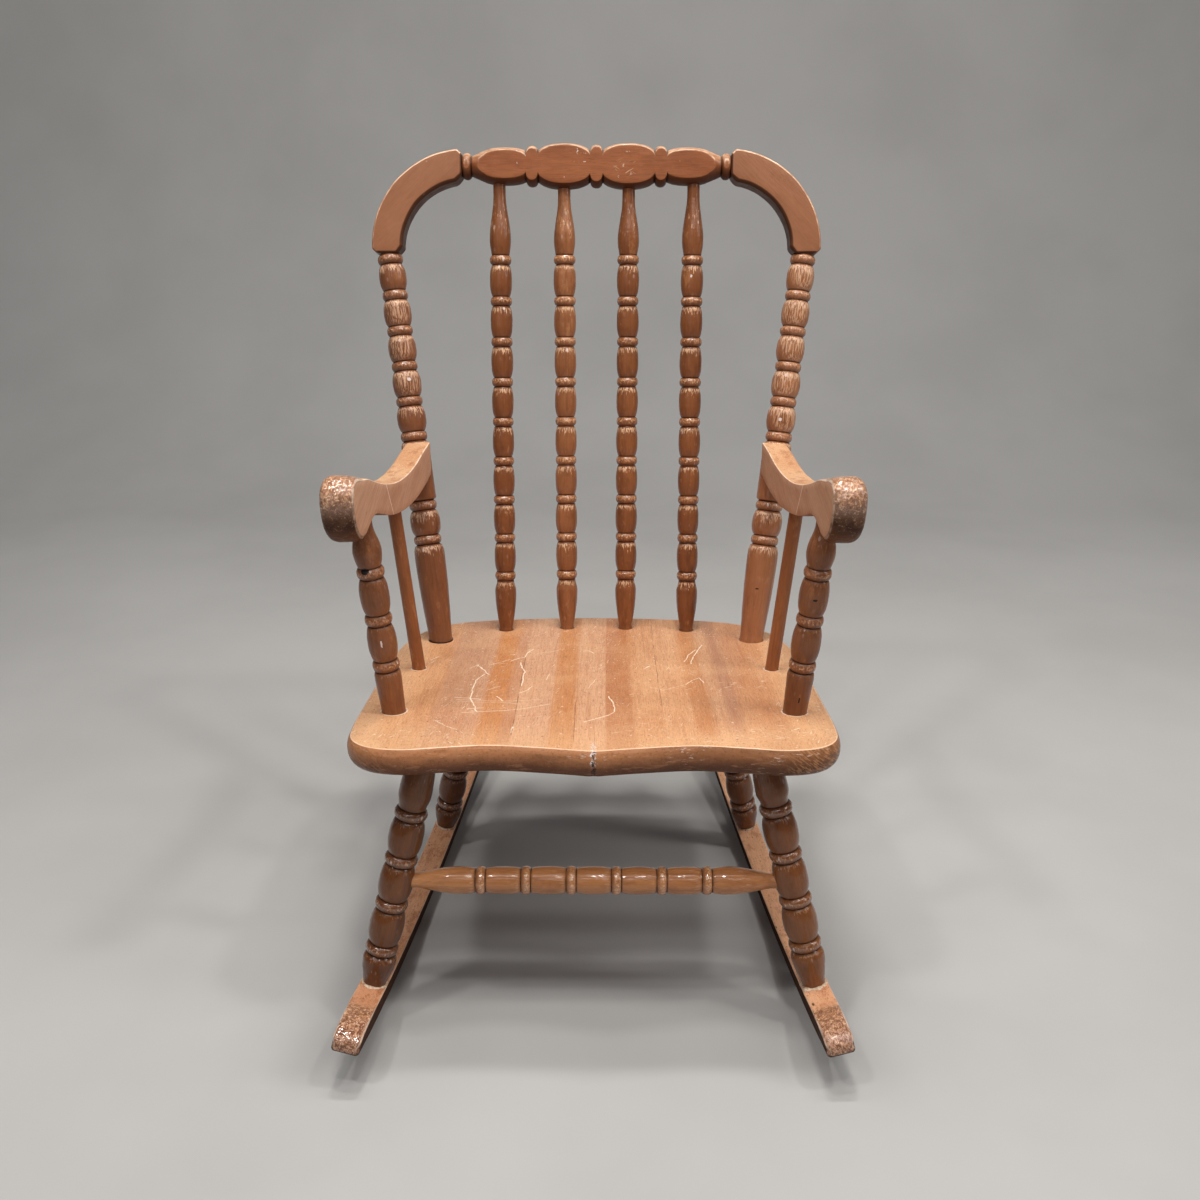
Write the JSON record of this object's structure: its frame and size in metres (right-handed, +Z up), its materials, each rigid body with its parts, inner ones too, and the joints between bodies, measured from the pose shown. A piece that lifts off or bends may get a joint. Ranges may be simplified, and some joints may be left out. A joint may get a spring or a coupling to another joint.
{
  "type": "rocking chair",
  "caption": "Small turned-wood rocking chair with spindle back, scrolled arms, splayed bead-turned legs and curved rockers.",
  "frame": {"origin": "on the floor, at the middle of the outline, midway between the points where the two rockers stand", "axes": "+X to the viewer's right of a chair that faces them, -Y the way the chair faces, +Z up"},
  "size_m": [0.451, 0.5735, 0.7488],
  "materials": {
    "turned_wood": "reddish brown stained turnings, worn gloss lacquer, pale wear on the beads",
    "crest_wood": "brown stained boards, satin, fine scratches, pale rubbed edges",
    "seat_wood": "light orange tan glued boards, satin, scratched; darker rounded edge",
    "arm_wood": "bandsawn sides matt pinkish tan, tops and scrolls worn glossy brown",
    "rocker_wood": "pinkish tan, satin, worn and chipped gloss at the nose",
    "stretcher_wood": "honey brown turning, gloss lacquer",
    "screw_steel": "zinc plated wood screws, dull"
  },
  "bodies": {
    "root": {"seat": "seat_wood", "back_post_left": "turned_wood", "back_post_right": "turned_wood", "spindle_1": "turned_wood", "spindle_2": "turned_wood", "spindle_3": "turned_wood", "spindle_4": "turned_wood", "crest_rail": "crest_wood", "corner_block_left": "crest_wood", "corner_block_right": "crest_wood", "arm_left": "arm_wood", "arm_right": "arm_wood", "arm_post_left": "turned_wood", "arm_post_right": "turned_wood", "arm_dowel_left": "turned_wood", "arm_dowel_right": "turned_wood", "front_leg_left": "turned_wood", "front_leg_right": "turned_wood", "rear_leg_left": "turned_wood", "rear_leg_right": "turned_wood", "front_stretcher": "stretcher_wood", "rocker_left": "rocker_wood", "rocker_right": "rocker_wood", "arm_screws": "screw_steel"}
  },
  "joints": []
}
